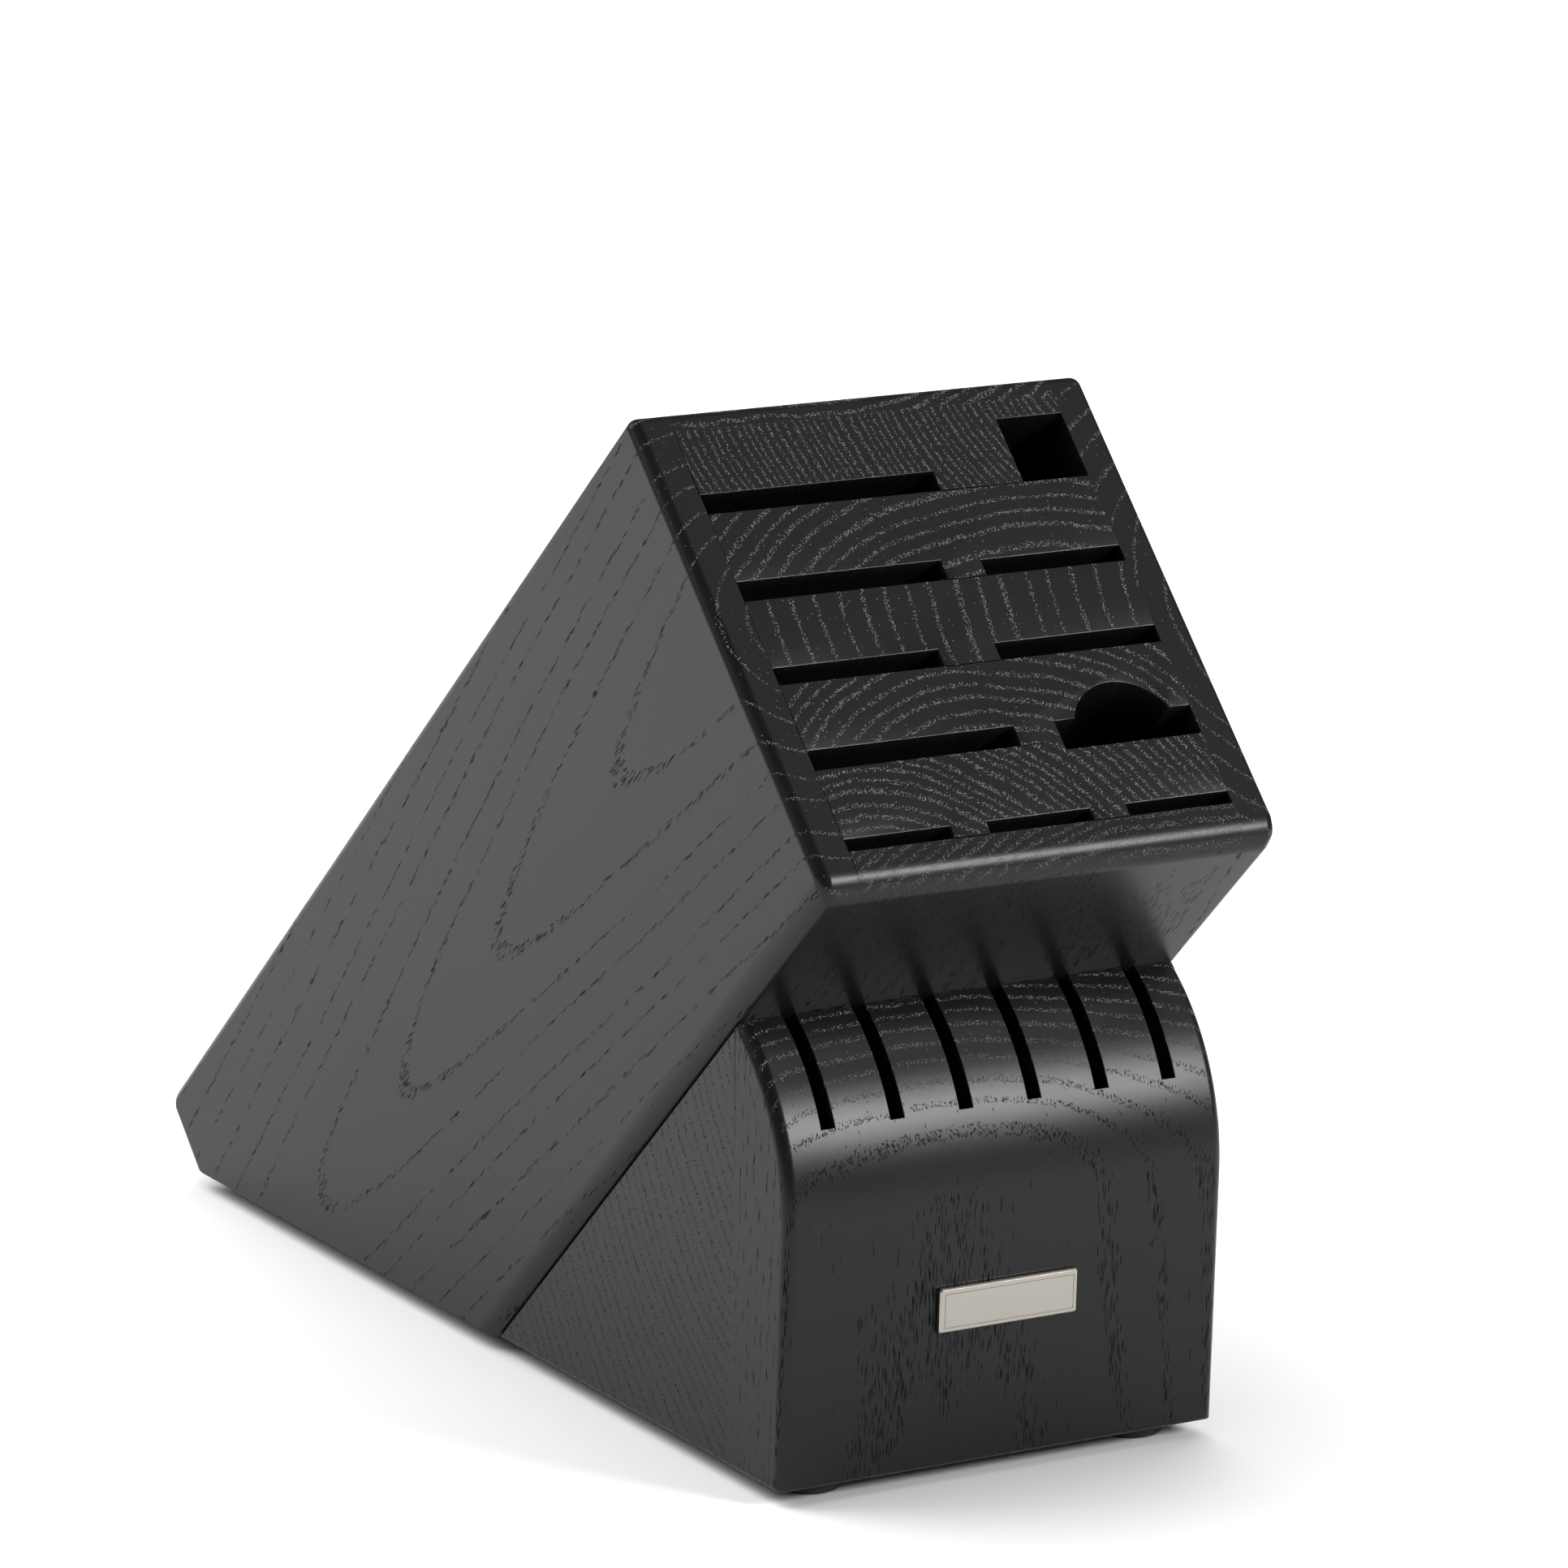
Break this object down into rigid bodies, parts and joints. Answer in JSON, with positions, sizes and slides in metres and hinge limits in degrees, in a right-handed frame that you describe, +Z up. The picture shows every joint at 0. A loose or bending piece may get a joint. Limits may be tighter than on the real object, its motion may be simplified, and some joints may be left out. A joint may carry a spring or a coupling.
{
  "type": "slanted knife block",
  "caption": "Slanted laminated wood block with flat knife slots, a steel socket, a shears slot and a lower front block with upright steak knife kerfs.",
  "frame": {"origin": "on the ground at the centre of the footprint box", "axes": "+X across the block, +Y from the plate side to the back, +Z up"},
  "size_m": [0.1278, 0.3174, 0.2473],
  "materials": {
    "stained_ash": "black stained open pore ash under satin lacquer",
    "dowel_wood": "plain beech",
    "plate_metal": "satin nickel with bright bevelled edges",
    "plate_foam": "matt adhesive foam",
    "foot_rubber": "matt moulded rubber",
    "screw_steel": "zinc plated"
  },
  "bodies": {
    "root": {"left_side_panel": "stained_ash", "right_side_panel": "stained_ash", "back_panel": "stained_ash", "core_board_1_top": "stained_ash", "core_board_1": "stained_ash", "row_1_rib": "stained_ash", "core_board_2": "stained_ash", "row_2_rib": "stained_ash", "core_board_3": "stained_ash", "row_3_rib": "stained_ash", "core_board_4_top": "stained_ash", "core_board_4": "stained_ash", "shears_arch": "stained_ash", "row_4_rib": "stained_ash", "core_board_5_top": "stained_ash", "core_board_5": "stained_ash", "row_5_ribs": "stained_ash", "front_panel": "stained_ash", "front_board": "stained_ash", "front_board_ribs": "stained_ash", "wedge_board": "stained_ash", "wedge_board_ribs": "stained_ash", "joining_dowels": "dowel_wood", "name_plate": "plate_metal", "name_plate_pad": "plate_foam", "front_left_foot": "foot_rubber", "front_right_foot": "foot_rubber", "rear_left_foot": "foot_rubber", "rear_right_foot": "foot_rubber", "foot_screws": "screw_steel"}
  },
  "joints": []
}
